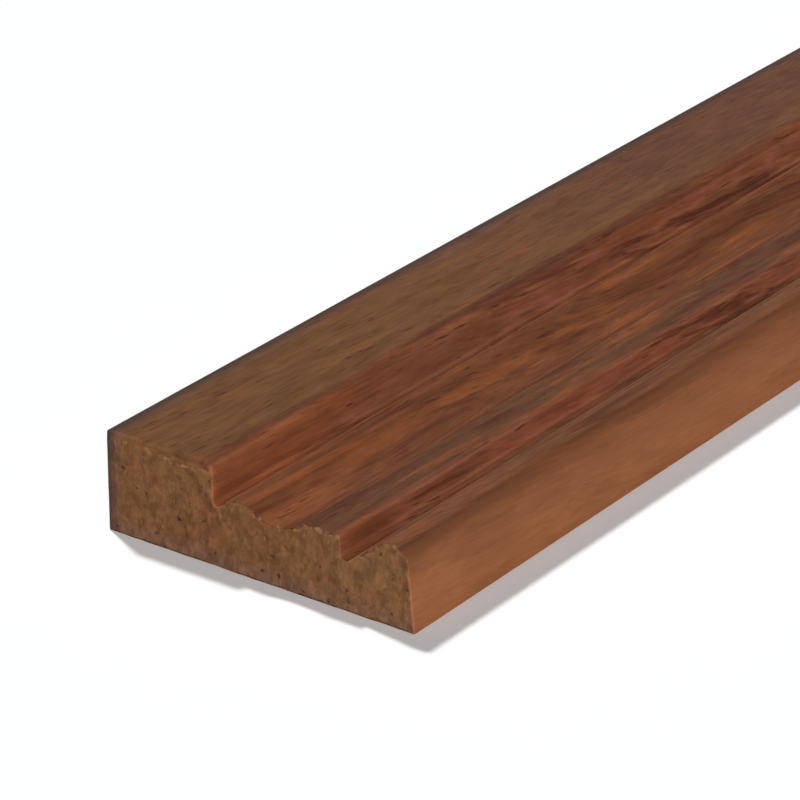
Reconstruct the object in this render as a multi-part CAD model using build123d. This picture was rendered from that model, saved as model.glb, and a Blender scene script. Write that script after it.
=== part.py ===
from build123d import *
import math
import os

# A length of planed, moulded hardwood batten, one piece of solid timber.
# Frame: +X runs along the length, +Y points to the thick back edge, +Z is up.
# The origin is under the middle of the batten, on the surface that it lies on.
# All sizes are in millimetres.

# Size of the stock after planing.
STOCK_LENGTH = 900.0
STOCK_WIDTH = 69.5
STOCK_THICKNESS = 20.5

# Section, measured across from the back edge and up from the flat underside.
BAND_WIDTH = 24.6             # flat band along the back edge, at full thickness
SHOULDER_RADIUS = 2.4         # rounded shoulder where the band drops to the first groove
FIELD_HEIGHT = 14.8           # crest and land, one on each side of the hollow
CREST_PLACE = 30.5            # middle of the crest
CREST_RADIUS = 5.0
HOLLOW_HEIGHT = 12.4          # deepest line of the hollow
HOLLOW_RADIUS = 10.0
LAND_END = 53.1               # steep wall of the second groove
LAND_ARRIS_RADIUS = 0.7
NOSE_HEIGHT = 16.7            # top of the raised nose along the front edge
NOSE_RADIUS = 3.6
FRONT_SPLAY = 6.4             # degrees, the front edge leans back as it rises

# Each groove has a steep wall, a round bottom and a slope on its front side.
GROOVE_SLOPE = 38.0           # degrees from level
FIRST_GROOVE_RADIUS = 0.8
SECOND_GROOVE_RADIUS = 1.2

# Eased corners of the stock.
BACK_ARRIS_RADIUS = 0.8
FOOT_ARRIS_RADIUS = 0.5


def line_crossing(point_a, degrees_a, point_b, degrees_b):
    """Return where a line through each point, at its angle from level, meets the other."""
    ax, ay = math.cos(math.radians(degrees_a)), math.sin(math.radians(degrees_a))
    bx, by = math.cos(math.radians(degrees_b)), math.sin(math.radians(degrees_b))
    across = point_b[0] - point_a[0]
    up = point_b[1] - point_a[1]
    along = (across * by - up * bx) / (ax * by - ay * bx)
    return (point_a[0] + along * ax, point_a[1] + along * ay)


def slope_touch(centre, radius):
    """Return where a groove's slope runs into the round form beside it."""
    slope = math.radians(GROOVE_SLOPE)
    return (centre[0] - radius * math.sin(slope), centre[1] + radius * math.cos(slope))


def front_corner():
    """Return the sharp front foot, placed so that the rounded one reaches the full width."""
    half_angle = math.radians(90.0 - FRONT_SPLAY) / 2
    cut_back = FOOT_ARRIS_RADIUS / math.tan(half_angle) - FOOT_ARRIS_RADIUS
    return (STOCK_WIDTH + cut_back, 0.0)


def nose_corners():
    """Return the second groove's sharp bottom corner and the nose's sharp top corner."""
    front_foot = front_corner()
    front_angle = 90.0 + FRONT_SPLAY
    axis_inset = NOSE_RADIUS / math.cos(math.radians(FRONT_SPLAY))
    axis_foot = (front_foot[0] - axis_inset, 0.0)
    centre = line_crossing(axis_foot, front_angle, (0.0, NOSE_HEIGHT - NOSE_RADIUS), 0.0)
    touch = slope_touch(centre, NOSE_RADIUS)
    groove_corner = line_crossing(touch, GROOVE_SLOPE, (LAND_END, 0.0), 90.0)
    nose_corner = line_crossing(touch, GROOVE_SLOPE, front_foot, front_angle)
    return groove_corner, nose_corner


def first_groove_corner():
    """Return the sharp bottom corner of the groove at the foot of the shoulder."""
    touch = slope_touch((CREST_PLACE, FIELD_HEIGHT - CREST_RADIUS), CREST_RADIUS)
    return line_crossing(touch, GROOVE_SLOPE, (BAND_WIDTH, 0.0), 90.0)


def ogee_edges():
    """Return the slope, round crest, shallow hollow and flat land of the moulded field."""
    crest_centre = (CREST_PLACE, FIELD_HEIGHT - CREST_RADIUS)
    crest_start = slope_touch(crest_centre, CREST_RADIUS)
    crest_top = (CREST_PLACE, FIELD_HEIGHT)
    drop = FIELD_HEIGHT - HOLLOW_HEIGHT
    both_radii = CREST_RADIUS + HOLLOW_RADIUS
    turn_angle = math.acos(1 - drop / both_radii)
    turn = (
        CREST_PLACE + CREST_RADIUS * math.sin(turn_angle),
        crest_centre[1] + CREST_RADIUS * math.cos(turn_angle),
    )
    hollow_low = (CREST_PLACE + both_radii * math.sin(turn_angle), HOLLOW_HEIGHT)
    half_chord = math.sqrt(2 * HOLLOW_RADIUS * drop - drop ** 2)
    land_start = (hollow_low[0] + half_chord, FIELD_HEIGHT)
    return [
        Line(first_groove_corner(), crest_start),
        ThreePointArc(crest_start, crest_top, turn),
        ThreePointArc(turn, hollow_low, land_start),
        Line(land_start, (LAND_END, FIELD_HEIGHT)),
    ]


def section():
    """Return the batten's end section as one face, with its corners rounded."""
    first_groove = first_groove_corner()
    second_groove, nose = nose_corners()
    back_foot = (0.0, 0.0)
    back_top = (0.0, STOCK_THICKNESS)
    shoulder = (BAND_WIDTH, STOCK_THICKNESS)
    land_arris = (LAND_END, FIELD_HEIGHT)
    front_foot = front_corner()
    back_and_band = Polyline(back_foot, back_top, shoulder, first_groove)
    front_and_foot = Polyline(land_arris, second_groove, nose, front_foot, back_foot)
    face = make_face(back_and_band.edges() + ogee_edges() + front_and_foot.edges())
    rounded_corners = [
        (back_foot, FOOT_ARRIS_RADIUS),
        (back_top, BACK_ARRIS_RADIUS),
        (shoulder, SHOULDER_RADIUS),
        (first_groove, FIRST_GROOVE_RADIUS),
        (land_arris, LAND_ARRIS_RADIUS),
        (second_groove, SECOND_GROOVE_RADIUS),
        (nose, NOSE_RADIUS),
        (front_foot, FOOT_ARRIS_RADIUS),
    ]
    for corner, radius in rounded_corners:
        sharp = face.vertices().sort_by_distance(corner)[0]
        face = fillet(sharp, radius)
    return face


def batten():
    """Return the section carried along the whole length."""
    end_plane = Plane(
        origin=(STOCK_LENGTH / 2, STOCK_WIDTH / 2, 0),
        x_dir=(0, -1, 0),
        z_dir=(-1, 0, 0),
    )
    return extrude(end_plane * section(), amount=STOCK_LENGTH)


os.makedirs("parts", exist_ok=True)
export_step(batten(), "parts/batten.step")
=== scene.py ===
# %% [markdown]
# # A planed hardwood batten with a moulded face
# The real object is one stick of red-brown hardwood. A moulding machine planed its
# underside and edges and cut a profile into its top: a flat band, a rounded shoulder,
# a shallow hollow between two grooves, and a raised nose along the front edge.
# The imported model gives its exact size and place. This lesson gives it its looks:
# a finer mesh with worn, sawn ends, and a wood finish made of shader nodes.

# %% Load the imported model
import math

import bpy
import numpy as np
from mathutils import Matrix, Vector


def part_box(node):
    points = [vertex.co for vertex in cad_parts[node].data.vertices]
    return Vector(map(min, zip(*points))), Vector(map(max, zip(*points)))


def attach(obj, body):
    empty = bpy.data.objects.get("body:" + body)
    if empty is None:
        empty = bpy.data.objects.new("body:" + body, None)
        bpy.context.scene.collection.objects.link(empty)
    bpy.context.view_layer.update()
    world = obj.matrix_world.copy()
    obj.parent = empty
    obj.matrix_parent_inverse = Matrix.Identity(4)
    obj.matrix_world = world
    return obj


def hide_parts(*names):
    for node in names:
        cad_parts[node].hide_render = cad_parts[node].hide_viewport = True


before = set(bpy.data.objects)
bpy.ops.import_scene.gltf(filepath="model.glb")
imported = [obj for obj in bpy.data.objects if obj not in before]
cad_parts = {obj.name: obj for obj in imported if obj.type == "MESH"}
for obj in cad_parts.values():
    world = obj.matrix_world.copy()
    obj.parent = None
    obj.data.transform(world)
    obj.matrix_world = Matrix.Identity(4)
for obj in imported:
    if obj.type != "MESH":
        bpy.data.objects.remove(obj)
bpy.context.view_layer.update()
node_low, node_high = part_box("batten")
MM = 0.001
LENGTH = (node_high.x - node_low.x) / MM
WIDTH = (node_high.y - node_low.y) / MM
THICKNESS = (node_high.z - node_low.z) / MM
print(f"batten {LENGTH:.1f} x {WIDTH:.1f} x {THICKNESS:.1f} mm")

# %% [markdown]
# ## The section
# Every cut through the batten shows the same outline, so the outline is the design.
# It could be typed in as many small points, but a maker thinks of straight lines that
# meet at corners, each eased by a round cutter. So the corners are listed with their
# radii, in millimetres across from the back edge and up from the underside, and one
# function rounds them all.

# %% Sizes of the moulding
BAND_WIDTH = 24.6
SHOULDER_RADIUS = 2.4
FIELD_HEIGHT = 14.8
CREST_PLACE, CREST_RADIUS = 30.5, 5.0
HOLLOW_HEIGHT, HOLLOW_RADIUS = 12.4, 10.0
LAND_END, LAND_ARRIS_RADIUS = 53.1, 0.7
NOSE_HEIGHT, NOSE_RADIUS = 16.7, 3.6
GROOVE_SLOPE = math.radians(38.0)
FRONT_SPLAY = math.radians(6.4)
FIRST_GROOVE_RADIUS, SECOND_GROOVE_RADIUS = 0.8, 1.2
BACK_ARRIS_RADIUS, FOOT_ARRIS_RADIUS = 0.4, 0.3
HOLLOW_EDGE_RADIUS = 0.4


# %% Helpers that find where two edges meet
def crossing(point_a, angle_a, point_b, angle_b):
    """Where a line through point_a meets one through point_b, each at its angle from level."""
    along_a = np.array([math.cos(angle_a), math.sin(angle_a)])
    along_b = np.array([math.cos(angle_b), math.sin(angle_b)])
    steps = np.linalg.solve(np.stack([along_a, -along_b], axis=1), np.subtract(point_b, point_a))
    return tuple(point_a + steps[0] * along_a)


def touch(centre, radius, angle):
    """Where a line at this angle from level lies on top of a circle."""
    return (centre[0] - radius * math.sin(angle), centre[1] + radius * math.cos(angle))


# %% [markdown]
# The crest and the hollow flow into each other in one S curve. Two circles that touch
# give it: their centres are apart by both radii, and the drop between crest and hollow
# fixes how far the line where they meet is tilted.

# %% Corners of the section
upright = math.radians(90)
foot_cut = FOOT_ARRIS_RADIUS / math.tan((upright - FRONT_SPLAY) / 2) - FOOT_ARRIS_RADIUS
front_foot = (WIDTH + foot_cut, 0.0)
front_angle = upright + FRONT_SPLAY
nose_axis = (front_foot[0] - NOSE_RADIUS / math.cos(FRONT_SPLAY), 0.0)
nose_centre = crossing(nose_axis, front_angle, (0.0, NOSE_HEIGHT - NOSE_RADIUS), 0.0)
nose_touch = touch(nose_centre, NOSE_RADIUS, GROOVE_SLOPE)
crest_centre = (CREST_PLACE, FIELD_HEIGHT - CREST_RADIUS)
crest_touch = touch(crest_centre, CREST_RADIUS, GROOVE_SLOPE)
drop = FIELD_HEIGHT - HOLLOW_HEIGHT
turn_angle = math.acos(1 - drop / (CREST_RADIUS + HOLLOW_RADIUS))
turn = touch(crest_centre, CREST_RADIUS, -turn_angle)
hollow_place = CREST_PLACE + (CREST_RADIUS + HOLLOW_RADIUS) * math.sin(turn_angle)
half_hollow = math.sqrt(2 * HOLLOW_RADIUS * drop - drop ** 2)
land_start = (hollow_place + half_hollow, FIELD_HEIGHT)
hollow_rise = math.asin(half_hollow / HOLLOW_RADIUS)

bottom_corners = [
    ((0.0, 0.0), FOOT_ARRIS_RADIUS),
    (front_foot, FOOT_ARRIS_RADIUS),
]
top_corners = [
    (crossing(nose_touch, GROOVE_SLOPE, front_foot, front_angle), NOSE_RADIUS),
    (crossing(nose_touch, GROOVE_SLOPE, (LAND_END, 0.0), upright), SECOND_GROOVE_RADIUS),
    ((LAND_END, FIELD_HEIGHT), LAND_ARRIS_RADIUS),
    (land_start, HOLLOW_EDGE_RADIUS),
    (crossing(turn, -turn_angle, land_start, hollow_rise), HOLLOW_RADIUS),
    (crossing(turn, -turn_angle, crest_touch, GROOVE_SLOPE), CREST_RADIUS),
    (crossing(crest_touch, GROOVE_SLOPE, (BAND_WIDTH, 0.0), upright), FIRST_GROOVE_RADIUS),
    ((BAND_WIDTH, THICKNESS), SHOULDER_RADIUS),
    ((0.0, THICKNESS), BACK_ARRIS_RADIUS),
]
print(f"{len(bottom_corners) + len(top_corners)} corners, hollow deepest at {hollow_place:.1f} mm")


# %% [markdown]
# ## Rounding the corners
# A circle of the given radius is pushed into each corner until it touches both edges.
# It touches them at radius / tan(half the corner's angle) from the corner. Only the
# short way round between the two touching points is kept.

# %% Round each corner with an arc
ARC_SAMPLES = 24


def corner_arc(before, corner, after, radius):
    """Points of the circle between its touching points: centre + radius * (cos a, sin a)."""
    to_before = np.subtract(before, corner) / np.linalg.norm(np.subtract(before, corner))
    to_after = np.subtract(after, corner) / np.linalg.norm(np.subtract(after, corner))
    half = math.acos(np.clip(to_before @ to_after, -1, 1)) / 2
    middle = (to_before + to_after) / np.linalg.norm(to_before + to_after)
    centre = np.array(corner) + middle * radius / math.sin(half)
    start = np.array(corner) + to_before * radius / math.tan(half) - centre
    end = np.array(corner) + to_after * radius / math.tan(half) - centre
    start_angle = math.atan2(start[1], start[0])
    sweep = (math.atan2(end[1], end[0]) - start_angle + math.pi) % (2 * math.pi) - math.pi
    angles = start_angle + sweep * np.linspace(0, 1, ARC_SAMPLES)
    return centre + radius * np.stack([np.cos(angles), np.sin(angles)], axis=1)


all_corners = bottom_corners + top_corners
places = [place for place, radius in all_corners]
arcs = [
    corner_arc(places[i - 1], places[i], places[(i + 1) % len(places)], all_corners[i][1])
    for i in range(len(places))
]
bottom_path = np.concatenate(arcs[:2])
top_path = np.concatenate(arcs[2:])
print(f"bottom path {len(bottom_path)} points, top path {len(top_path)} points")


# %% [markdown]
# ## Spreading the mesh points
# A curve needs more points than a straight edge. Each stretch of the path is given a
# cost, its length over one step plus its turn over another, and the points are put at
# equal costs. They crowd together in the arcs and spread out along the flats.

# %% Spread points along a path
LENGTH_STEP = 0.5
TURN_STEP = math.radians(10)


def drop_repeats(path):
    """The path without points that repeat the one before, as where two arcs touch."""
    steps = np.linalg.norm(np.diff(path, axis=0), axis=1)
    return path[np.concatenate([[True], steps > 1e-6])]


def path_cost(path):
    """Running cost: length / LENGTH_STEP + turn / TURN_STEP."""
    steps = np.diff(path, axis=0)
    lengths = np.hypot(steps[:, 0], steps[:, 1])
    headings = np.unwrap(np.arctan2(steps[:, 1], steps[:, 0]))
    turns = np.abs(np.diff(headings, prepend=headings[0]))
    return np.concatenate([[0.0], np.cumsum(lengths / LENGTH_STEP + turns / TURN_STEP)])


def spread(path, count):
    """The path again, as count points at equal steps of cost."""
    cost = path_cost(path)
    wanted = np.linspace(0, cost[-1], count)
    return np.stack([np.interp(wanted, cost, path[:, k]) for k in (0, 1)], axis=1)


bottom_path = drop_repeats(bottom_path)
top_path = drop_repeats(top_path)
ACROSS = int(path_cost(top_path)[-1])
UP = int(THICKNESS / LENGTH_STEP)
bottom_side = spread(bottom_path, ACROSS)
front_side = np.linspace(bottom_path[-1], top_path[0], UP)
top_side = spread(top_path, ACROSS)
back_side = np.linspace(top_path[-1], bottom_path[0], UP)
outline = np.concatenate([bottom_side[:-1], front_side[:-1], top_side[:-1], back_side[:-1]])
print(f"{len(outline)} points round the section")


# %% [markdown]
# ## Unevenness from sums of waves
# A sawn end is rough, and its edges are worn by handling. Both are uneven in the same
# soft way, so one helper serves: it adds up many sine waves of random direction, with
# lengths between two limits. The seed is fixed, so each run gives the same batten.

# %% A repeatable uneven field
WAVES = 60


def uneven(points, shortest, longest, seed):
    """Sum of WAVES sines over the plane, scaled to lie mostly between 0 and 1."""
    draw = np.random.default_rng(seed)
    wave_length = shortest * (longest / shortest) ** draw.random(WAVES)
    heading = draw.random(WAVES) * 2 * math.pi
    shift = draw.random(WAVES) * 2 * math.pi
    direction = np.stack([np.cos(heading), np.sin(heading)])
    phase = points @ direction * (2 * math.pi / wave_length) + shift
    weight = wave_length ** 0.5
    total = (np.sin(phase) * weight).sum(axis=-1) / math.sqrt((weight ** 2).sum() / 2)
    return np.clip(0.5 + total / 4, 0, 1)


# %% [markdown]
# ## Worn ends
# The saw leaves a sharp edge round the end, and handling breaks it. The band stands
# highest, so its edge is worn most. The back edge is hardly worn at all. The wear pulls
# the outline in as a quarter ellipse over the last millimetre or so of the length. A
# bevel modifier would cut every edge alike. Here the outline's normals show the way in,
# averaged over a short stretch, so that a pulled-in corner can't fold over.

# %% How far the outline is pulled in at the end
EDGE_WEAR = (0.12, 0.34)
BAND_WEAR, BAND_WEAR_SHARES = 0.50, (0.75, 1.25)
BAND_DEPTH, BAND_FADE = 2.0, 1.5
BACK_SPARED, BACK_FADE = 0.6, 0.4
WEAR_REACH = 1.25
EDGE_WAVES = (3.0, 14.0)
NORMAL_SMOOTHING = 1.3


def outline_normals(points):
    """Unit normals: sum of the edges' normals, each times exp(-(distance / smoothing) ** 2)."""
    ahead = np.roll(points, -1, axis=0)
    middle = (points + ahead) / 2
    along = ahead - points
    out = np.stack([along[:, 1], -along[:, 0]], axis=1)
    apart = np.linalg.norm(points[:, None] - middle[None], axis=2)
    smooth = np.exp(-(apart / NORMAL_SMOOTHING) ** 2) @ out
    return smooth / np.linalg.norm(smooth, axis=1, keepdims=True)


def on_band(points):
    """1 on the flat band, fading to 0 at BAND_DEPTH under the top of the section."""
    return np.clip((points[:, 1] - THICKNESS + BAND_DEPTH) / BAND_FADE, 0, 1)


def on_back(points):
    """1 on the back edge, fading to 0 over BACK_FADE."""
    return np.clip(1 - points[:, 0] / BACK_FADE, 0, 1)


def wear_depth(points, seed):
    """Wear of each outline point: the edge's own, plus the band's, less what the back is spared."""
    unevenness = uneven(points, *EDGE_WAVES, seed)
    wear = np.interp(unevenness, (0, 1), EDGE_WEAR)
    extra = on_band(points) * BAND_WEAR * np.interp(unevenness, (0, 1), BAND_WEAR_SHARES)
    return (wear + extra) * (1 - BACK_SPARED * on_back(points))


NEAR_SEED, FAR_SEED = 11, 12
near_wear = wear_depth(outline, NEAR_SEED)
print(f"near end's wear from {near_wear.min():.2f} to {near_wear.max():.2f} mm")

# %% [markdown]
# ## The long faces
# The outline is carried along the length. The rings stand close together at the ends,
# where the wear bends the surface, and far apart between, where nothing changes.

# %% Rings along the length
END_STATIONS = np.array([0.0, 0.08, 0.2, 0.35, 0.55, 0.8, 1.1, 1.5, 2.0, 2.8, 4.5, 8.0])
MIDDLE_STEP = 14.0
normals = outline_normals(outline)


def end_rings(seed):
    """Rings (distance from the end plane, across, up), pulled in by a quarter ellipse:
    wear * (1 - sqrt(1 - share ** 2)), where share falls from 1 at the end plane to 0."""
    wear = wear_depth(outline, seed)
    station = END_STATIONS[:, None]
    share = np.clip(1 - station / (wear * WEAR_REACH), 0, 1)
    pulled = wear * (1 - np.sqrt(1 - share ** 2))
    points = outline[None] - normals[None] * pulled[..., None]
    depth = np.broadcast_to(station, pulled.shape)
    return np.concatenate([depth[..., None], points], axis=2)


near_rings = end_rings(NEAR_SEED)
far_rings = end_rings(FAR_SEED)
middle_count = int((LENGTH - 2 * END_STATIONS[-1]) / MIDDLE_STEP)
middle_depths = np.linspace(END_STATIONS[-1], LENGTH - END_STATIONS[-1], middle_count)[1:-1]
print(f"{2 * len(END_STATIONS) + len(middle_depths)} rings along the length")

# %% Long faces as one closed grid
middle_rings = np.empty((len(middle_depths), len(outline), 3))
middle_rings[..., 0] = middle_depths[:, None]
middle_rings[..., 1:] = outline
far_turned = far_rings[::-1].copy()
far_turned[..., 0] = LENGTH - far_turned[..., 0]
rings = np.concatenate([near_rings, middle_rings, far_turned])
ring_size = len(outline)
ring_ids = np.arange(rings.shape[0] * ring_size).reshape(rings.shape[0], ring_size)
next_ids = np.roll(ring_ids, -1, axis=1)
long_faces = np.stack([ring_ids[:-1], next_ids[:-1], next_ids[1:], ring_ids[1:]], axis=-1)
long_faces = long_faces.reshape(-1, 4)
print(f"{len(long_faces)} faces on the long sides")


# %% [markdown]
# ## The sawn ends
# An end could be one flat face, but a rough face needs a fine grid inside an outline
# with grooves in it. A patch stretched between four sides gives such a grid: it adds
# the straight blend of bottom and top to the straight blend of back and front, and
# takes away the blend of the four corners, which was counted twice. The saw's roughness
# then sinks the inner points, and fades out at the rim.

# %% Stretch a patch over each end
SAW_DEPTH = 0.30
SAW_WAVES = (0.9, 5.0)
RIM_FADE = 1.2


def rim_distance(points, rim):
    """Distance from each point to the nearest point of the rim."""
    return np.linalg.norm(points[:, None] - rim[None], axis=2).min(axis=1)


def patch(bottom, front, top, back):
    """Grid points (across, up, 2) of the patch between four sides, corners shared."""
    s = np.linspace(0, 1, len(bottom))[:, None, None]
    t = np.linspace(0, 1, len(front))[None, :, None]
    upward = (1 - t) * bottom[:, None] + t * top[:, None]
    sideways = (1 - s) * back[None] + s * front[None]
    back_corners = (1 - t) * bottom[0] + t * top[0]
    front_corners = (1 - t) * bottom[-1] + t * top[-1]
    return upward + sideways - (1 - s) * back_corners - s * front_corners


def ring_sides(ring):
    """Cut a ring into bottom and top, both back to front, and front and back, both upward."""
    closed = np.concatenate([ring, ring[:1]])
    bottom = closed[:ACROSS]
    front = closed[ACROSS - 1:ACROSS + UP - 1]
    top = closed[ACROSS + UP - 2:2 * ACROSS + UP - 2][::-1]
    back = closed[2 * ACROSS + UP - 3:][::-1]
    return bottom, front, top, back


def end_cap(ring, edge_ids, first_id, seed):
    """Inner points (distance, across, up) and faces of the sawn face inside one ring."""
    flat = patch(*ring_sides(ring[:, 1:]))
    sides = ring_sides(edge_ids)
    ids = np.empty(flat.shape[:2], int)
    ids[1:-1, 1:-1] = first_id + np.arange((ACROSS - 2) * (UP - 2)).reshape(ACROSS - 2, UP - 2)
    ids[:, 0], ids[-1, :], ids[:, -1], ids[0, :] = sides
    inner = flat[1:-1, 1:-1].reshape(-1, 2)
    inside = np.clip(rim_distance(inner, ring[:, 1:]) / RIM_FADE, 0, 1)
    rough = SAW_DEPTH * inside * uneven(inner, *SAW_WAVES, seed)
    faces = np.stack([ids[:-1, :-1], ids[:-1, 1:], ids[1:, 1:], ids[1:, :-1]], axis=-1)
    return np.column_stack([rough, inner]), faces.reshape(-1, 4)


near_cap, near_faces = end_cap(near_rings[0], ring_ids[0], ring_ids.size, NEAR_SEED)
far_cap, far_faces = end_cap(far_rings[0], ring_ids[-1], ring_ids.size + len(near_cap), FAR_SEED)
far_cap[:, 0] = LENGTH - far_cap[:, 0]
far_faces = far_faces[:, ::-1]
print(f"{len(near_faces)} faces on each sawn end")

# %% [markdown]
# ## One closed mesh
# The long faces and the two ends share their edge points, so the mesh is closed. A
# closed mesh has a volume: the sum over its triangles of a . (b x c) / 6. If the sum
# is positive, the faces point outwards, and it should come out close to the volume
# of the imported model.

# %% All points and faces
measured = np.concatenate([rings.reshape(-1, 3), near_cap, far_cap])
verts = np.empty_like(measured)
verts[:, 0] = (measured[:, 0] - LENGTH / 2) * MM
verts[:, 1] = (WIDTH / 2 - measured[:, 1]) * MM
verts[:, 2] = measured[:, 2] * MM
faces = np.concatenate([long_faces, near_faces, far_faces])


def signed_volume(points, quads):
    """Sum of a . (b x c) / 6 over both triangles of every quad."""
    a, b, c, d = (points[quads[:, k]] for k in range(4))
    halves = np.einsum("ij,ij->i", a, np.cross(b, c)) + np.einsum("ij,ij->i", a, np.cross(c, d))
    return halves.sum() / 6


volume = signed_volume(verts, faces)
if volume < 0:
    faces = faces[:, ::-1]
print(f"{len(verts)} points, {len(faces)} faces, {abs(volume) * 1e6:.1f} cubic centimetres")

# %% [markdown]
# ## How far past the rim
# The sawn end and the planed faces look different, and the line between them is the
# rim. Planing and handling smear the outermost fibres of the end, most of all under
# the band and along the back edge, so that line lies a little inside the rim. Each
# point carries its distance past it: positive on the sawn face, negative along the
# length. An attribute on the mesh can hold what no formula on coordinates could.

# %% Distance past the rim, carried by every point
SMEAR = 0.15
BACK_SMEAR = 1.4
BAND_SMEAR = [(0.0, 0.4), (7.0, 0.5), (13.0, 0.9), (19.0, 1.3), (23.0, 0.9), (25.0, 0.0)]


def smear(rim):
    """Width of the smeared strip inside each rim point, in millimetres."""
    under_band = np.interp(rim[:, 0], *np.transpose(BAND_SMEAR)) * on_band(rim)
    return SMEAR + np.maximum(under_band, on_back(rim) * BACK_SMEAR)


def past_rim(cap, ring):
    """Smallest distance past the smeared strip, seen from each point of a sawn face."""
    apart = np.linalg.norm(cap[:, None, 1:] - ring[None, :, 1:], axis=2)
    return (apart - smear(outline)[None]).min(axis=1)


ring_depths = np.minimum(rings[..., 0], LENGTH - rings[..., 0])
past = np.concatenate([
    (-ring_depths - smear(outline)[None]).ravel(),
    past_rim(near_cap, near_rings[0]),
    past_rim(far_cap, far_rings[0]),
])
print(f"past the rim from {past.min():.0f} to {past.max():.1f} mm")

# %% Make the mesh
mesh = bpy.data.meshes.new("batten_timber")
mesh.from_pydata(verts, [], faces)
mesh.shade_smooth()
carried = mesh.attributes.new("past_rim", "FLOAT", "POINT")
carried.data.foreach_set("value", past.astype(np.float32))
timber = bpy.data.objects.new("batten_timber", mesh)
bpy.context.scene.collection.objects.link(timber)
print(f"{2 * len(faces)} triangles, each point with its distance past the rim")


# %% [markdown]
# ## Shader helpers
# A wood finish is a stack of simple patterns. These helpers add one node each and
# return its output, so that a finish reads as a list of steps. Colours are written as
# a screen shows them, from 0 to 255, and turned into the linear values that a shader
# works with.

# %% Colours and nodes
def screen(red, green, blue):
    """A linear colour from 0 to 255 screen values: ((c + 0.055) / 1.055) ** 2.4."""
    shares = np.array([red, green, blue]) / 255
    linear = np.where(shares > 0.04045, ((shares + 0.055) / 1.055) ** 2.4, shares / 12.92)
    return (*linear.tolist(), 1.0)


def add_node(tree, kind, inputs=None, **settings):
    """Add a shader node. Each input is a value or the output of another node."""
    made = tree.nodes.new("ShaderNode" + kind)
    for name, value in settings.items():
        setattr(made, name, value)
    for socket, value in (inputs or {}).items():
        if isinstance(value, bpy.types.NodeSocket):
            tree.links.new(value, made.inputs[socket])
        else:
            made.inputs[socket].default_value = value
    return made


# %% Arithmetic on values and places
def calc(tree, operation, first, second=0.0, clamp=False):
    """One step of arithmetic."""
    made = add_node(tree, "Math", {0: first, 1: second}, operation=operation, use_clamp=clamp)
    return made.outputs[0]


def plus(tree, first, second):
    """The sum of two values."""
    return calc(tree, "ADD", first, second)


def minus(tree, first, second):
    """The difference of two values."""
    return calc(tree, "SUBTRACT", first, second)


def times(tree, first, second):
    """The product of two values."""
    return calc(tree, "MULTIPLY", first, second)


def between(tree, value, low, high, to_low=0.0, to_high=1.0):
    """Map low..high smoothly onto to_low..to_high and hold the ends."""
    names = ("Value", "From Min", "From Max", "To Min", "To Max")
    inputs = dict(zip(names, (value, low, high, to_low, to_high)))
    return add_node(tree, "MapRange", inputs, interpolation_type="SMOOTHSTEP").outputs[0]


def split(tree, place):
    """The x, y and z of a place."""
    return tuple(add_node(tree, "SeparateXYZ", {0: place}).outputs)


def distance(tree, first, second):
    """Straight distance from two legs at right angles: sqrt(first ** 2 + second ** 2)."""
    legs = add_node(tree, "CombineXYZ", {0: first, 1: second}).outputs[0]
    return add_node(tree, "VectorMath", {0: legs}, operation="LENGTH").outputs["Value"]


# %% [markdown]
# Noise is the raw stuff of every pattern here. It comes in round clouds, and stretching
# the coordinates draws the clouds out: long along the stick for grain, short for the
# crumbs of a sawn end. Each size below is that of one cloud, in millimetres along the
# length, across and up.

# %% Noise and colour
NOISE_LOW, NOISE_HIGH = 0.3, 0.7


def stretch(tree, place, size):
    """Coordinates in which one pattern cell measures size along x, y and z."""
    inverse = tuple(1 / length for length in size)
    return add_node(tree, "VectorMath", {0: place, 1: inverse}, operation="MULTIPLY").outputs[0]


def noise(tree, place, size, detail=2.0, rough=0.5):
    """Cloudy noise with cells of that size in millimetres, from 0 to 1. More detail adds
    finer clouds to the first, and rough is how strong each finer one is."""
    inputs = {
        "Vector": stretch(tree, place, size),
        "Scale": 1.0,
        "Detail": detail,
        "Roughness": rough,
    }
    return add_node(tree, "TexNoise", inputs).outputs["Fac"]


def centred(tree, value):
    """A noise value moved to lie on both sides of 0."""
    return minus(tree, value, 0.5)


def blend_value(tree, share, under, over):
    """The value under where share is 0, the value over where it is 1."""
    return add_node(tree, "Mix", {0: share, 2: under, 3: over}).outputs[0]


def blend_colour(tree, share, under, over, mode="MIX"):
    """Lay one colour over another."""
    made = add_node(tree, "Mix", {0: share}, data_type="RGBA", blend_type=mode)
    for socket, value in ((6, under), (7, over)):
        if isinstance(value, bpy.types.NodeSocket):
            tree.links.new(value, made.inputs[socket])
        else:
            made.inputs[socket].default_value = value
    return made.outputs[2]


def shade(tree, share, colour, pattern, darkest, palest):
    """Multiply a colour by darkest where the noise is low and by palest where it is high."""
    tint = between(tree, pattern, NOISE_LOW, NOISE_HIGH, darkest, palest)
    return blend_colour(tree, share, colour, tint, "MULTIPLY")


def colour_ramp(tree, factor, stops):
    """Colours along a factor from 0 to 1. Each stop is (place, linear colour)."""
    ramp = add_node(tree, "ValToRGB", {0: factor})
    elements = ramp.color_ramp.elements
    elements[0].position, elements[0].color = stops[0]
    elements[1].position, elements[1].color = stops[-1]
    for place, colour in stops[1:-1]:
        elements.new(place).color = colour
    return ramp.outputs[0]


# %% [markdown]
# ## Long grain: where the fibres run
# The fibres don't run quite parallel to the stick, because the log wasn't straight. So
# the grain is not drawn out along x alone: its coordinates are sheared along x, which
# makes every streak lean, and swayed a little by a very long noise.

# %% Places for the grain
FIBRE_LEAN = (-0.055, -0.075)
SWAY_SIZE, SWAY_REACH = (60.0, 14.0, 14.0), 5.0


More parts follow.
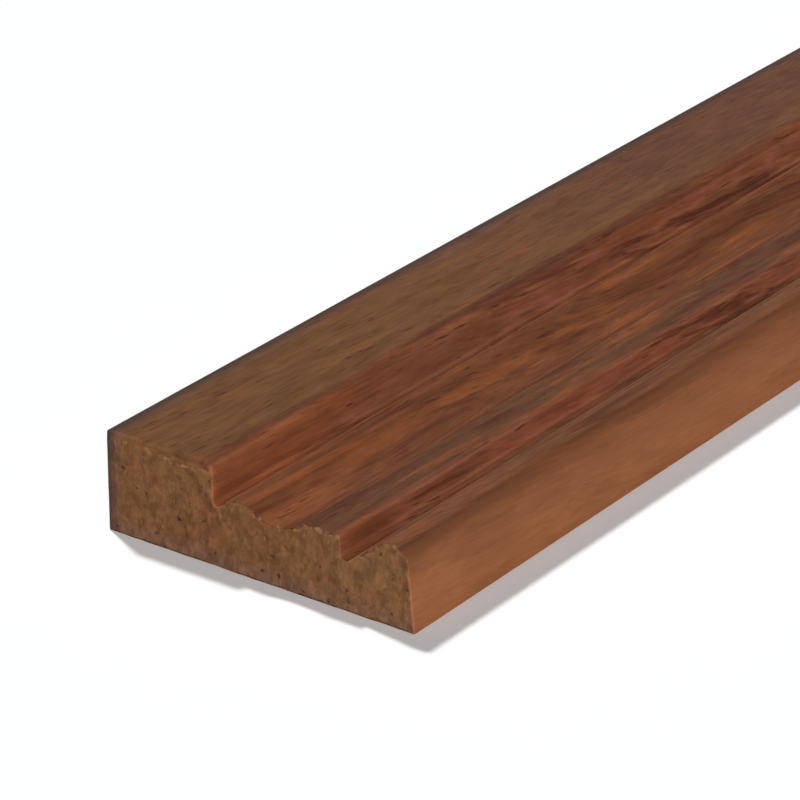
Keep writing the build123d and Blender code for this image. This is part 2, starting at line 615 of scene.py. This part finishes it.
def grain_places(tree):
    """Object coordinates in millimetres: as they are, and sheared along the leaning fibres."""
    place = stretch(tree, add_node(tree, "TexCoord").outputs["Object"], (MM, MM, MM))
    along = split(tree, place)[0]
    sway = times(tree, centred(tree, noise(tree, place, SWAY_SIZE, detail=1.0)), SWAY_REACH)
    lean_y = plus(tree, times(tree, along, -FIBRE_LEAN[0]), sway)
    lean_z = plus(tree, times(tree, along, -FIBRE_LEAN[1]), sway)
    shift = add_node(tree, "CombineXYZ", {1: lean_y, 2: lean_z}).outputs[0]
    moved = add_node(tree, "VectorMath", {0: place, 1: shift}, operation="ADD").outputs[0]
    return place, moved


# %% [markdown]
# ## Timber tones
# A length of hardwood shows a handful of tones. They are named once here, like tubes of
# paint, and the forms and marks of the planed faces take their colours from them. A long
# table of colours could follow one photograph more closely, but it would be a copy of
# that photograph and would say nothing about the wood.

# %% A palette for the planed faces
# Painted shade: the grey brown of the back arris.
PAINTED_SHADE_GREY_BROWN = screen(96, 71, 58)
TAN = screen(105, 70, 42)
BROWN = screen(104, 61, 38)
DULL_BROWN = screen(93, 59, 40)
WARM_BROWN = screen(110, 70, 47)
RED_BROWN = screen(95, 57, 38)
DARK_RED = screen(85, 47, 33)
ROSE = screen(120, 71, 50)
ORANGE = screen(132, 77, 46)
PALE = screen(147, 94, 66)
# Painted light: a pale tone that lifts the shade in the second groove.
PALE_PAINTED_LIGHT = screen(153, 107, 80)
HONEY = screen(163, 95, 60)
# Partly painted light: the front edge and its start near the shown end take this tone.
BRIGHT = screen(175, 111, 72)

# %% [markdown]
# ## Long grain: a tone for each form
# Each form of the moulding keeps one tone along the whole length: tan on the flat band,
# red brown on its shoulder, pale on the crest, brown in the hollow. The pale stops on the
# slope up to the crest and at the foot of the nose lie where the top lamp's shadow falls
# into the grooves, and are painted light that lifts that shade. The grey brown at the back
# arris is painted shade, and the bright front edge is partly its own colour and partly
# painted light. A colour ramp over the width holds them and fades between two neighbours.
# The two walls of the moulding stand upright, so they take up no width on the ramp and
# catch little light. On the real stick they are as bright as the flats beside them, so a
# tint of painted light lifts them.

# %% Tone of each form, from one place across the width to another
FORM_TONES = {
    # Painted shade on the back arris.
    "back arris": (0.0, 0.0, PAINTED_SHADE_GREY_BROWN),
    "flat band": (5.0, 21.0, TAN),
    "shoulder": (22.6, 22.6, RED_BROWN),
    "first wall": (BAND_WIDTH, BAND_WIDTH, ROSE),
    # Painted light: the pale stops on the slope up to the crest lift the shade in the first groove.
    "crest": (25.4, 26.6, PALE),
    "hollow": (29.4, 42.5, BROWN),
    "land": (46.0, 51.0, DULL_BROWN),
    "second wall": (LAND_END, LAND_END, ROSE),
    # Painted light: the pale stop at the foot of the nose lifts the shade in the second groove.
    "foot of the nose": (55.0, 55.0, PALE_PAINTED_LIGHT),
    "nose": (58.0, 65.8, WARM_BROWN),
    "front arris": (66.4, 66.4, RED_BROWN),
    # Partly its own colour, partly painted light on the front edge.
    "front edge": (WIDTH, WIDTH, BRIGHT),
}
BACK_COLOUR, BACK_REACH = screen(118, 78, 53), (0.05, 0.4)
STEP_PLACES, STEP_REACH = (BAND_WIDTH, LAND_END), (0.05, 0.45)
# Painted light: a tint that lifts the two walls, which catch little light.
STEP_PAINTED_LIGHT = (1.95, 2.05, 2.2, 1.0)


def band_colour(tree, straight, across):
    """The ramp over the width, the back edge in its own colour, the walls in painted light."""
    share = calc(tree, "DIVIDE", across, WIDTH, clamp=True)
    stops = [
        (place / WIDTH, tone)
        for *reach, tone in FORM_TONES.values()
        for place in sorted(set(reach))
    ]
    colour = colour_ramp(tree, share, stops)
    on_back_edge = between(tree, straight, *BACK_REACH, 1.0, 0.0)
    colour = blend_colour(tree, on_back_edge, colour, BACK_COLOUR)
    beside = [calc(tree, "ABSOLUTE", minus(tree, straight, step)) for step in STEP_PLACES]
    on_step = between(tree, calc(tree, "MINIMUM", *beside), *STEP_REACH, 1.0, 0.0)
    # Painted light on the walls, in place of the light they miss.
    wall_painted_light = blend_colour(tree, 1.0, colour, STEP_PAINTED_LIGHT, "MULTIPLY")
    return blend_colour(tree, on_step, colour, wall_painted_light)


print("tones across the width:", ", ".join(FORM_TONES))

# %% [markdown]
# ## Long grain: streaks
# Streaks a few millimetres wide lie in the bands. One noise gives both kinds: where it
# is low the wood is redder, where it is high it is paler. They show most in the moulded
# field between the band and the nose, and least on the calm front edge.

# %% Red and pale streaks
STREAK_SIZE = (60.0, 2.8, 2.8)
RED_FROM, RED_FULL, RED_STREAK = 0.50, 0.36, screen(78, 38, 27)
PALE_FROM, PALE_FULL, PALE_STREAK = 0.52, 0.68, screen(138, 78, 44)
BAND_SHARE, RED_FIELD_SHARE, PALE_FIELD_SHARE = 0.25, 0.65, 0.7


def add_streaks(tree, colour, moved, field, lively):
    """Lay red and pale streaks over a colour, stronger in the field than on the band."""
    streaks = noise(tree, moved, STREAK_SIZE, detail=4.0, rough=0.6)
    kinds = [
        (RED_FROM, RED_FULL, RED_FIELD_SHARE, RED_STREAK),
        (PALE_FROM, PALE_FULL, PALE_FIELD_SHARE, PALE_STREAK),
    ]
    for start, full, field_share, streak_colour in kinds:
        strength = between(tree, field, 0.0, 1.0, BAND_SHARE, field_share)
        share = times(tree, between(tree, streaks, start, full), strength)
        colour = blend_colour(tree, times(tree, share, lively), colour, streak_colour)
    return colour


# %% [markdown]
# ## Long grain: marks
# Near the shown end the stick has a few marks that no noise would put there, such as
# the honey-coloured start of the first wall. The marks on the two walls, the orange
# marks in the hollow and the bright start of the front edge are partly the wood's colour
# and partly painted highlight, and the pale crest mark in the first groove is partly
# painted light that lifts the shade there. Each is an oval in one of the tones: its
# middle and its reach are in millimetres, from the shown end and across. A noise makes
# its edge ragged. Farther along, the flat band turns a little cooler.

# %% Marks, and the cooler far band
MARKS = {
    # Partly painted highlight: the marks on the walls and in the hollow.
    "start of the first wall": ((13.0, 24.9), (34.0, 1.7), HONEY),
    "first wall": ((72.0, 24.9), (22.0, 1.5), PALE),
    # Partly painted light: the crest mark lifts the shade in the first groove.
    "crest": ((48.0, 26.7), (36.0, 2.2), PALE),
    "start of the hollow": ((8.0, 38.0), (17.0, 4.2), ORANGE),
    "near hollow": ((36.0, 35.0), (22.0, 2.2), ORANGE),
    "far hollow": ((72.0, 34.5), (24.0, 1.8), ORANGE),
    "start of the second wall": ((7.0, 53.8), (13.0, 1.8), ORANGE),
    "start of the nose": ((9.0, 61.6), (12.0, 2.0), DULL_BROWN),
    "shoulder": ((105.0, 22.3), (62.0, 1.4), DARK_RED),
    # Partly painted highlight at the start of the front edge.
    "start of the front edge": ((4.0, 69.2), (17.0, 1.2), BRIGHT),
    "far band": ((190.0, 10.0), (75.0, 15.0), DULL_BROWN),
}
MARK_STRENGTH = 0.75
MARK_EDGE, MARK_EDGE_NOISE = (0.45, 1.05), (9.0, 1.6, 1.6)
FAR_FROM, FAR_BAND_EDGE = (55.0, 120.0), (19.0, 23.0)
FAR_BAND_TINT = (1.01, 0.98, 1.16, 1.0)


def mark_share(tree, from_end, across, ragged, middle, reach):
    """1 inside a mark, 0 outside: from the distance in shares of its reach, made ragged."""
    legs = [
        calc(tree, "DIVIDE", minus(tree, value, centre), half)
        for value, centre, half in zip((from_end, across), middle, reach)
    ]
    return between(tree, plus(tree, distance(tree, *legs), ragged), *MARK_EDGE, 1.0, 0.0)


def add_marks(tree, colour, moved, from_end, across):
    """Lay every mark over a colour, then tint the far part of the band."""
    ragged = centred(tree, noise(tree, moved, MARK_EDGE_NOISE, detail=3.0, rough=0.6))
    for middle, reach, tone in MARKS.values():
        share = mark_share(tree, from_end, across, ragged, middle, reach)
        colour = blend_colour(tree, times(tree, share, MARK_STRENGTH), colour, tone)
    on_the_band = between(tree, across, *FAR_BAND_EDGE, 1.0, 0.0)
    cooler = times(tree, between(tree, from_end, *FAR_FROM), on_the_band)
    return blend_colour(tree, cooler, colour, FAR_BAND_TINT, "MULTIPLY")


print("marks:", ", ".join(MARKS))

# %% [markdown]
# ## Long grain: fibres and pores
# Closer still come soft mottles, fibres finer than a hair, and pores, which the cutter
# opens as short dark dashes. The pores crowd in some places and are missing in others,
# so one noise makes the dashes and a broader one chooses where they may be. Fibres and
# pores are also felt, so they come back as a height for the bump.

# %% Mottles, fibres and pores
MOTTLE_SIZE, MOTTLE_SHADES = (11.0, 2.6, 2.6), (0.87, 1.13)
FIBRE_SIZE, FIBRE_SHADES = (12.0, 0.42, 0.42), (0.89, 1.11)
CROWD_SIZE, CROWD_FROM = (45.0, 3.5, 3.5), (0.46, 0.60)
DASH_SIZE, DASH_FROM = (6.0, 0.6, 0.6), (0.62, 0.72)
PORE_COLOUR, PORE_STRENGTH, PORE_DEPTH = screen(62, 38, 26), 0.7, 0.6
FEWER_PORES, FRONT_PORES = (63.0, 67.0), 0.3


def add_fibres(tree, colour, moved, across, lively):
    """Lay mottles, fibres and pores over a colour. Returns the colour and the height."""
    mottles = noise(tree, moved, MOTTLE_SIZE, detail=3.0, rough=0.6)
    colour = shade(tree, lively, colour, mottles, *MOTTLE_SHADES)
    fibres = noise(tree, moved, FIBRE_SIZE, detail=3.0, rough=0.65)
    colour = shade(tree, lively, colour, fibres, *FIBRE_SHADES)
    crowd = between(tree, noise(tree, moved, CROWD_SIZE), *CROWD_FROM)
    dashes = between(tree, noise(tree, moved, DASH_SIZE, detail=1.0), *DASH_FROM)
    allowed = between(tree, across, *FEWER_PORES, 1.0, FRONT_PORES)
    pores = times(tree, times(tree, dashes, crowd), allowed)
    colour = blend_colour(tree, times(tree, pores, PORE_STRENGTH), colour, PORE_COLOUR)
    return colour, minus(tree, fibres, times(tree, pores, PORE_DEPTH))


# %% [markdown]
# ## Long grain: painted shade on the back edge
# Painted shade darkens the arris between the band and the back edge, most of all at the
# corners of the stick. The shade could be painted on by hand, but both marks depend only
# on how far away the arris or the corner is, so a distance is enough.

# %% Painted shade on the back arris and corners
# Painted shade on the back arris and at the corners of the stick.
ARRIS_PAINTED_SHADE, ARRIS_REACH, ARRIS_STRENGTH = screen(64, 47, 39), (0.5, 3.3), 0.85
CORNER_PAINTED_SHADE, CORNER_REACH, CORNER_STRENGTH = screen(62, 48, 42), (0.2, 1.1), 0.6


def paint_edge_shade(tree, colour, along, straight, up):
    """Paint shade on a colour near the back arris and near its two ends."""
    from_arris = distance(tree, straight, minus(tree, THICKNESS, up))
    arris_shade_share = between(tree, from_arris, *ARRIS_REACH, ARRIS_STRENGTH, 0.0)
    colour = blend_colour(tree, arris_shade_share, colour, ARRIS_PAINTED_SHADE)
    to_end = minus(tree, LENGTH / 2, calc(tree, "ABSOLUTE", along))
    from_corner = distance(tree, to_end, straight)
    corner_shade_share = between(tree, from_corner, *CORNER_REACH, CORNER_STRENGTH, 0.0)
    return blend_colour(tree, corner_shade_share, colour, CORNER_PAINTED_SHADE)


# %% [markdown]
# ## Long grain: all layers
# The bands are placed by the distance from the back edge. That line wanders a little,
# as the growth layers in the wood do, and it wanders less on the narrow front bands.
# The walls and the back edge keep to the straight distance, since the cutter made them.

# %% Put the layers together
WANDER_SIZE, WANDER_REACH, FRONT_WANDER = (30.0, 4.0, 4.0), 1.4, 0.45
STEADIER = (63.0, 67.5)
FIELD_START, FIELD_END, FRONT_FIELD = (20.5, 23.5), (64.0, 68.5), 0.2
CALMER, FRONT_CALM = (64.5, 67.5), 0.5


def long_grain(tree, place, moved):
    """Tones, streaks, marks, fibres and painted shade on the edges. Returns the colour and the
    height.
    """
    along, sideways, up = split(tree, place)
    from_end = plus(tree, along, LENGTH / 2)
    straight = minus(tree, WIDTH / 2, sideways)
    reach = between(tree, straight, *STEADIER, WANDER_REACH, FRONT_WANDER)
    wander = times(tree, centred(tree, noise(tree, place, WANDER_SIZE)), reach)
    across = minus(tree, straight, wander)
    before_front = between(tree, across, *FIELD_END, 1.0, FRONT_FIELD)
    field = times(tree, between(tree, across, *FIELD_START), before_front)
    lively = between(tree, across, *CALMER, 1.0, FRONT_CALM)
    colour = band_colour(tree, straight, across)
    colour = add_streaks(tree, colour, moved, field, lively)
    colour = add_marks(tree, colour, moved, from_end, across)
    colour, height = add_fibres(tree, colour, moved, across, lively)
    return paint_edge_shade(tree, colour, along, straight, up), height


# %% [markdown]
# ## End grain
# The saw cuts across the fibres, so an end drinks in light and looks dull and crumbly.
# It shows soft mottles a few millimetres across, dark spots where pores are torn open,
# and pale upright flecks of soft tissue. There are no streaks: they are seen end on.
# The tone changes a little over the end: paler along the foot, which is painted light
# that lifts the shade where the end meets the floor, and darker by the back edge, which
# is painted shade.
# A picture of end grain would repeat or stretch. Layers of noise do neither.

# %% Tones of a sawn end
END_TONE_SIZE = (40.0, 9.0, 6.0)
END_TONES = [
    (0.35, screen(121, 80, 53)),
    (0.5, screen(122, 83, 53)),
    (0.65, screen(121, 84, 54)),
]
Y, Z = 1, 2
END_FIELDS = {
    # Painted light along the foot, and painted shade by the back edge.
    "along the foot": (Z, 4.5, 1.0, 0.85, screen(129, 93, 74)),
    "by the back edge": (Y, WIDTH / 2 - 4.5, WIDTH / 2 - 1.5, 0.8, screen(108, 79, 58)),
    "front half": (Y, -8.0, -18.0, 0.38, screen(132, 94, 64)),
}


def end_tone(tree, place):
    """Slow changes of tone, then the fields: each starts at one place and is full at the next."""
    slow = noise(tree, place, END_TONE_SIZE, detail=1.0)
    colour = colour_ramp(tree, slow, END_TONES)
    coordinates = split(tree, place)
    for axis, start, full, strength, field_colour in END_FIELDS.values():
        share = between(tree, coordinates[axis], start, full, 0.0, strength)
        colour = blend_colour(tree, share, colour, field_colour)
    return colour


print("fields on a sawn end:", ", ".join(END_FIELDS))

# %% Mottles, flecks and spots of a sawn end
END_MOTTLE_SIZE, END_MOTTLE_SHADES = (9.0, 2.6, 3.2), (0.72, 1.26)
CRUMB_SIZE, CRUMB_SHADES = (4.0, 0.8, 1.0), (0.88, 1.12)
FLECK_SIZE, FLECK_FROM, FLECK_STRENGTH = (6.0, 0.9, 2.4), (0.62, 0.76), 0.35
SPOT_SIZE, SPOT_FROM, SPOT_STRENGTH = (6.0, 1.9, 1.6), (0.66, 0.78), 0.8
FLECK_COLOUR, SPOT_COLOUR = screen(166, 126, 90), screen(66, 40, 28)
END_HEIGHT_SHARE, FLECK_HEIGHT = 0.6, 0.3


def end_grain(tree, place):
    """Mottles, crumbs, pale flecks and dark spots. Returns the colour and the height."""
    mottles = noise(tree, place, END_MOTTLE_SIZE, detail=4.0, rough=0.6)
    colour = shade(tree, 1.0, end_tone(tree, place), mottles, *END_MOTTLE_SHADES)
    crumbs = noise(tree, place, CRUMB_SIZE, rough=0.6)
    colour = shade(tree, 1.0, colour, crumbs, *CRUMB_SHADES)
    flecks = between(tree, noise(tree, place, FLECK_SIZE), *FLECK_FROM)
    colour = blend_colour(tree, times(tree, flecks, FLECK_STRENGTH), colour, FLECK_COLOUR)
    spots = between(tree, noise(tree, place, SPOT_SIZE), *SPOT_FROM)
    colour = blend_colour(tree, times(tree, spots, SPOT_STRENGTH), colour, SPOT_COLOUR)
    height = times(tree, plus(tree, mottles, crumbs), END_HEIGHT_SHARE)
    height = minus(tree, plus(tree, height, times(tree, flecks, FLECK_HEIGHT)), spots)
    return colour, height


# %% [markdown]
# ## The line between the two
# The saw leaves a broken line of pale, frayed fibres just inside the moulded edge, none
# along the foot or the back edge, and a little more at the very front. That line is partly
# the fibres' own colour and partly a painted highlight where the rim catches the light.
# Under the band the smeared fibres catch the light, so the strip they form is painted
# paler than the top, as a painted highlight.

# %% Frayed fibres and the smeared strip, both with painted highlights
FRAY_IN, FRAY_OUT = (-0.5, 0.0), (0.1, 1.1)
FRAY_ABOVE, FRAY_BEFORE_BACK = (2.0, 6.0), (33.0, 30.0)
FRAY_SIZE, FRAY_FROM = (3.0, 2.6, 2.2), (0.50, 0.68)
FRONT_FRAY, FRONT_FRAY_EXTRA = (-31.0, -34.0), 0.05
# Partly frayed fibres, partly a painted highlight where the rim catches the light.
FRAY_AND_HIGHLIGHT_COLOUR, FRAY_STRENGTH = screen(172, 124, 84), 0.7
SMEAR_HEIGHT, SMEAR_INSIDE = (THICKNESS - 2.4, THICKNESS - 1.6), (-1.5, -0.9)
# Painted highlight: the smeared strip under the band's top is made paler.
SMEAR_HIGHLIGHT_TINT = (1.28, 1.32, 1.34, 1.0)


def frayed_share(tree, place, past):
    """1 on the frayed line: near the line between the looks, on the moulding, and broken."""
    sideways, up = split(tree, place)[1:]
    inward = between(tree, past, *FRAY_OUT, 1.0, 0.0)
    near_line = times(tree, between(tree, past, *FRAY_IN), inward)
    before_back = between(tree, sideways, *FRAY_BEFORE_BACK)
    moulded = times(tree, between(tree, up, *FRAY_ABOVE), before_back)
    broken = noise(tree, place, FRAY_SIZE, detail=3.0, rough=0.7)
    broken = plus(tree, broken, between(tree, sideways, *FRONT_FRAY, 0.0, FRONT_FRAY_EXTRA))
    return times(tree, times(tree, near_line, moulded), between(tree, broken, *FRAY_FROM))


def smear_with_highlight(tree, colour, place, past):
    """A colour with a painted highlight on the smeared strip, which lies just under the band's top.
    """
    near_top = between(tree, split(tree, place)[2], *SMEAR_HEIGHT)
    smeared = times(tree, near_top, between(tree, past, *SMEAR_INSIDE))
    return blend_colour(tree, smeared, colour, SMEAR_HIGHLIGHT_TINT, "MULTIPLY")


# %% [markdown]
# ## One finish for the whole stick
# The two looks meet at the line that the points carry, and a little noise makes it
# ragged. Fibres, pores and saw marks are also pressed in with bump, deeper on the end.
# Planed wood is smoothest on its raised fibres. A sawn end is rough and hardly shines.

# %% Build the timber finish
RAGGED, RAGGED_SIZE = 0.9, (1.6, 1.3, 1.3)
END_LINE = (-0.12, 0.12)
LONG_RELIEF, END_RELIEF = 0.05 * MM, 0.30 * MM
RELIEF_STRENGTH = 0.8
PLANED_ROUGHNESS, SAWN_ROUGHNESS = (0.74, 0.6), 0.9
SHINE = 0.05


def timber_finish():
    """Material with long grain on the faces and end grain on the sawn ends."""
    material = bpy.data.materials.new("timber")
    material.use_nodes = True
    tree = material.node_tree
    shader = tree.nodes["Principled BSDF"]
    place, moved = grain_places(tree)
    long_colour, long_height = long_grain(tree, place, moved)
    end_colour, end_height = end_grain(tree, place)

    past = add_node(tree, "Attribute", attribute_name="past_rim").outputs["Fac"]
    rag = times(tree, centred(tree, noise(tree, place, RAGGED_SIZE)), RAGGED)
    past = plus(tree, past, rag)
    is_end = between(tree, past, *END_LINE)
    long_colour = smear_with_highlight(tree, long_colour, place, past)
    colour = blend_colour(tree, is_end, long_colour, end_colour)
    frayed = times(tree, frayed_share(tree, place, past), FRAY_STRENGTH)
    colour = blend_colour(tree, frayed, colour, FRAY_AND_HIGHLIGHT_COLOUR)
    tree.links.new(colour, shader.inputs["Base Color"])

    height = blend_value(tree, is_end, long_height, end_height)
    relief = blend_value(tree, is_end, LONG_RELIEF, END_RELIEF)
    lift_inputs = {"Strength": RELIEF_STRENGTH, "Distance": relief, "Height": height}
    lift = add_node(tree, "Bump", lift_inputs)
    tree.links.new(lift.outputs[0], shader.inputs["Normal"])
    planed = between(tree, long_height, NOISE_LOW, NOISE_HIGH, *PLANED_ROUGHNESS)
    roughness = blend_value(tree, is_end, planed, SAWN_ROUGHNESS)
    tree.links.new(roughness, shader.inputs["Roughness"])
    shader.inputs["Specular IOR Level"].default_value = SHINE
    return material


timber.data.materials.append(timber_finish())
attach(timber, "root")
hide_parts("batten")
print(f"finish with {len(timber.data.materials[0].node_tree.nodes)} nodes")

# %% [markdown]
# ## Floor, light and camera
# The floor is matt and pale and keeps the batten's shadow. The camera sees it in a
# white of its own, while the light that it throws back is that of a pale grey floor, so
# the ground is white as paper without any more light on the wood. The lamps are far
# away, so the whole length is lit alike.
# One is high and a little behind the batten, and draws the shadow in front. The other
# is broad, stands beside the camera about 30 degrees up, and lights the front edge and
# the sawn end. The sky adds only enough to keep the grooves from going black.

# %% Floor
FLOOR_SIZE = 40.0
FLOOR_SHADE = (0.80, 0.80, 0.80, 1.0)
FLOOR_SHADE_SEEN = (0.99, 1.00, 1.01, 1.0)


def seen_directly(tree):
    """1 for rays from the camera and their reflections, 0 for rays that carry light."""
    ray = add_node(tree, "LightPath")
    seen = plus(tree, ray.outputs["Is Camera Ray"], ray.outputs["Is Glossy Ray"])
    return calc(tree, "ADD", seen, ray.outputs["Is Transmission Ray"], clamp=True)


def floor_finish():
    """Matt pale floor, brighter where it is seen directly."""
    material = bpy.data.materials.new("floor_paper")
    material.use_nodes = True
    tree = material.node_tree
    tree.nodes.clear()
    shade = blend_colour(tree, seen_directly(tree), FLOOR_SHADE, FLOOR_SHADE_SEEN)
    matt = add_node(tree, "BsdfDiffuse", {"Color": shade})
    add_node(tree, "OutputMaterial", {"Surface": matt.outputs[0]})
    return material


def add_floor():
    """A large level square, just touching the underside."""
    half = FLOOR_SIZE / 2
    corners = [(-half, -half, 0), (half, -half, 0), (half, half, 0), (-half, half, 0)]
    sheet = bpy.data.meshes.new("floor")
    sheet.from_pydata(corners, [], [(0, 1, 2, 3)])
    sheet.materials.append(floor_finish())
    floor = bpy.data.objects.new("floor", sheet)
    bpy.context.scene.collection.objects.link(floor)


add_floor()
print(f"floor {FLOOR_SIZE:.0f} m across")

# %% Sky
SKY_STRENGTH = 0.06


def add_sky():
    """A plain white sky: full white to the camera, soft and dim as a light."""
    world = bpy.data.worlds.new("sky")
    world.use_nodes = True
    tree = world.node_tree
    tree.nodes.clear()
    strength = blend_value(tree, seen_directly(tree), SKY_STRENGTH, 1.0)
    glow = add_node(tree, "Background", {"Color": (1, 1, 1, 1), "Strength": strength})
    add_node(tree, "OutputWorld", {"Surface": glow.outputs[0]})
    bpy.context.scene.world = world


add_sky()
print(f"sky as strong as {SKY_STRENGTH:.0%} of white")

# %% Lamps
TOP_LAMP = {"towards": (0.25, 0.53, 1.0), "strength": 0.71, "spread": 5.0}
FRONT_LAMP = {"towards": (-0.74, -0.54, 0.53), "strength": 0.66, "spread": 12.0}


def add_lamp(name, towards, strength, spread):
    """A far lamp. Strength 1 makes a white face turned to it look just white."""
    data = bpy.data.lights.new(name, "SUN")
    data.energy = strength * math.pi
    data.angle = math.radians(spread)
    lamp = bpy.data.objects.new(name, data)
    to_lamp = np.array(towards) / np.linalg.norm(towards)
    tilt = math.acos(to_lamp[2])
    turn_about = math.atan2(to_lamp[1], to_lamp[0]) + upright
    lamp.rotation_euler = (tilt, 0.0, turn_about)
    bpy.context.scene.collection.objects.link(lamp)


add_lamp("top_lamp", **TOP_LAMP)
add_lamp("front_lamp", **FRONT_LAMP)
print(f"lamps at {TOP_LAMP['strength']:.2f} and {FRONT_LAMP['strength']:.2f} of white")

# %% [markdown]
# ## Camera
# In a picture, the batten's edges run to vanishing points, and those give the lens, the
# tilt and the turn. One corner then fixes the place: the foot of the back edge at the
# near end lies at a known pixel and distance. The lens is long, so the edges converge
# only a little.

# %% Place the camera
PICTURE_SIZE = 800
CORNER_PIXEL = (109.6, 529.6)
CORNER_DISTANCE = 0.8001
FOCAL_PIXELS = 4320.0
SENSOR = 36.0
LOOK_DOWN = math.radians(25.39)
TURN = math.radians(-54.0)


def add_camera():
    """Camera whose ray through CORNER_PIXEL ends on the near end's back foot."""
    data = bpy.data.cameras.new("camera")
    data.sensor_width = SENSOR
    data.lens = FOCAL_PIXELS / PICTURE_SIZE * SENSOR
    camera = bpy.data.objects.new("camera", data)
    camera.rotation_euler = (upright - LOOK_DOWN, 0.0, TURN)
    turned = np.array(camera.rotation_euler.to_matrix())
    half = PICTURE_SIZE / 2
    ray = turned @ np.array([CORNER_PIXEL[0] - half, half - CORNER_PIXEL[1], -FOCAL_PIXELS])
    corner = np.array([node_low.x, node_high.y, 0.0])
    camera.location = corner - ray / np.linalg.norm(ray) * CORNER_DISTANCE
    bpy.context.scene.collection.objects.link(camera)
    bpy.context.scene.camera = camera
    return camera


camera = add_camera()
bpy.context.scene.view_settings.view_transform = "Standard"
print("camera at", [round(value, 4) for value in camera.location])
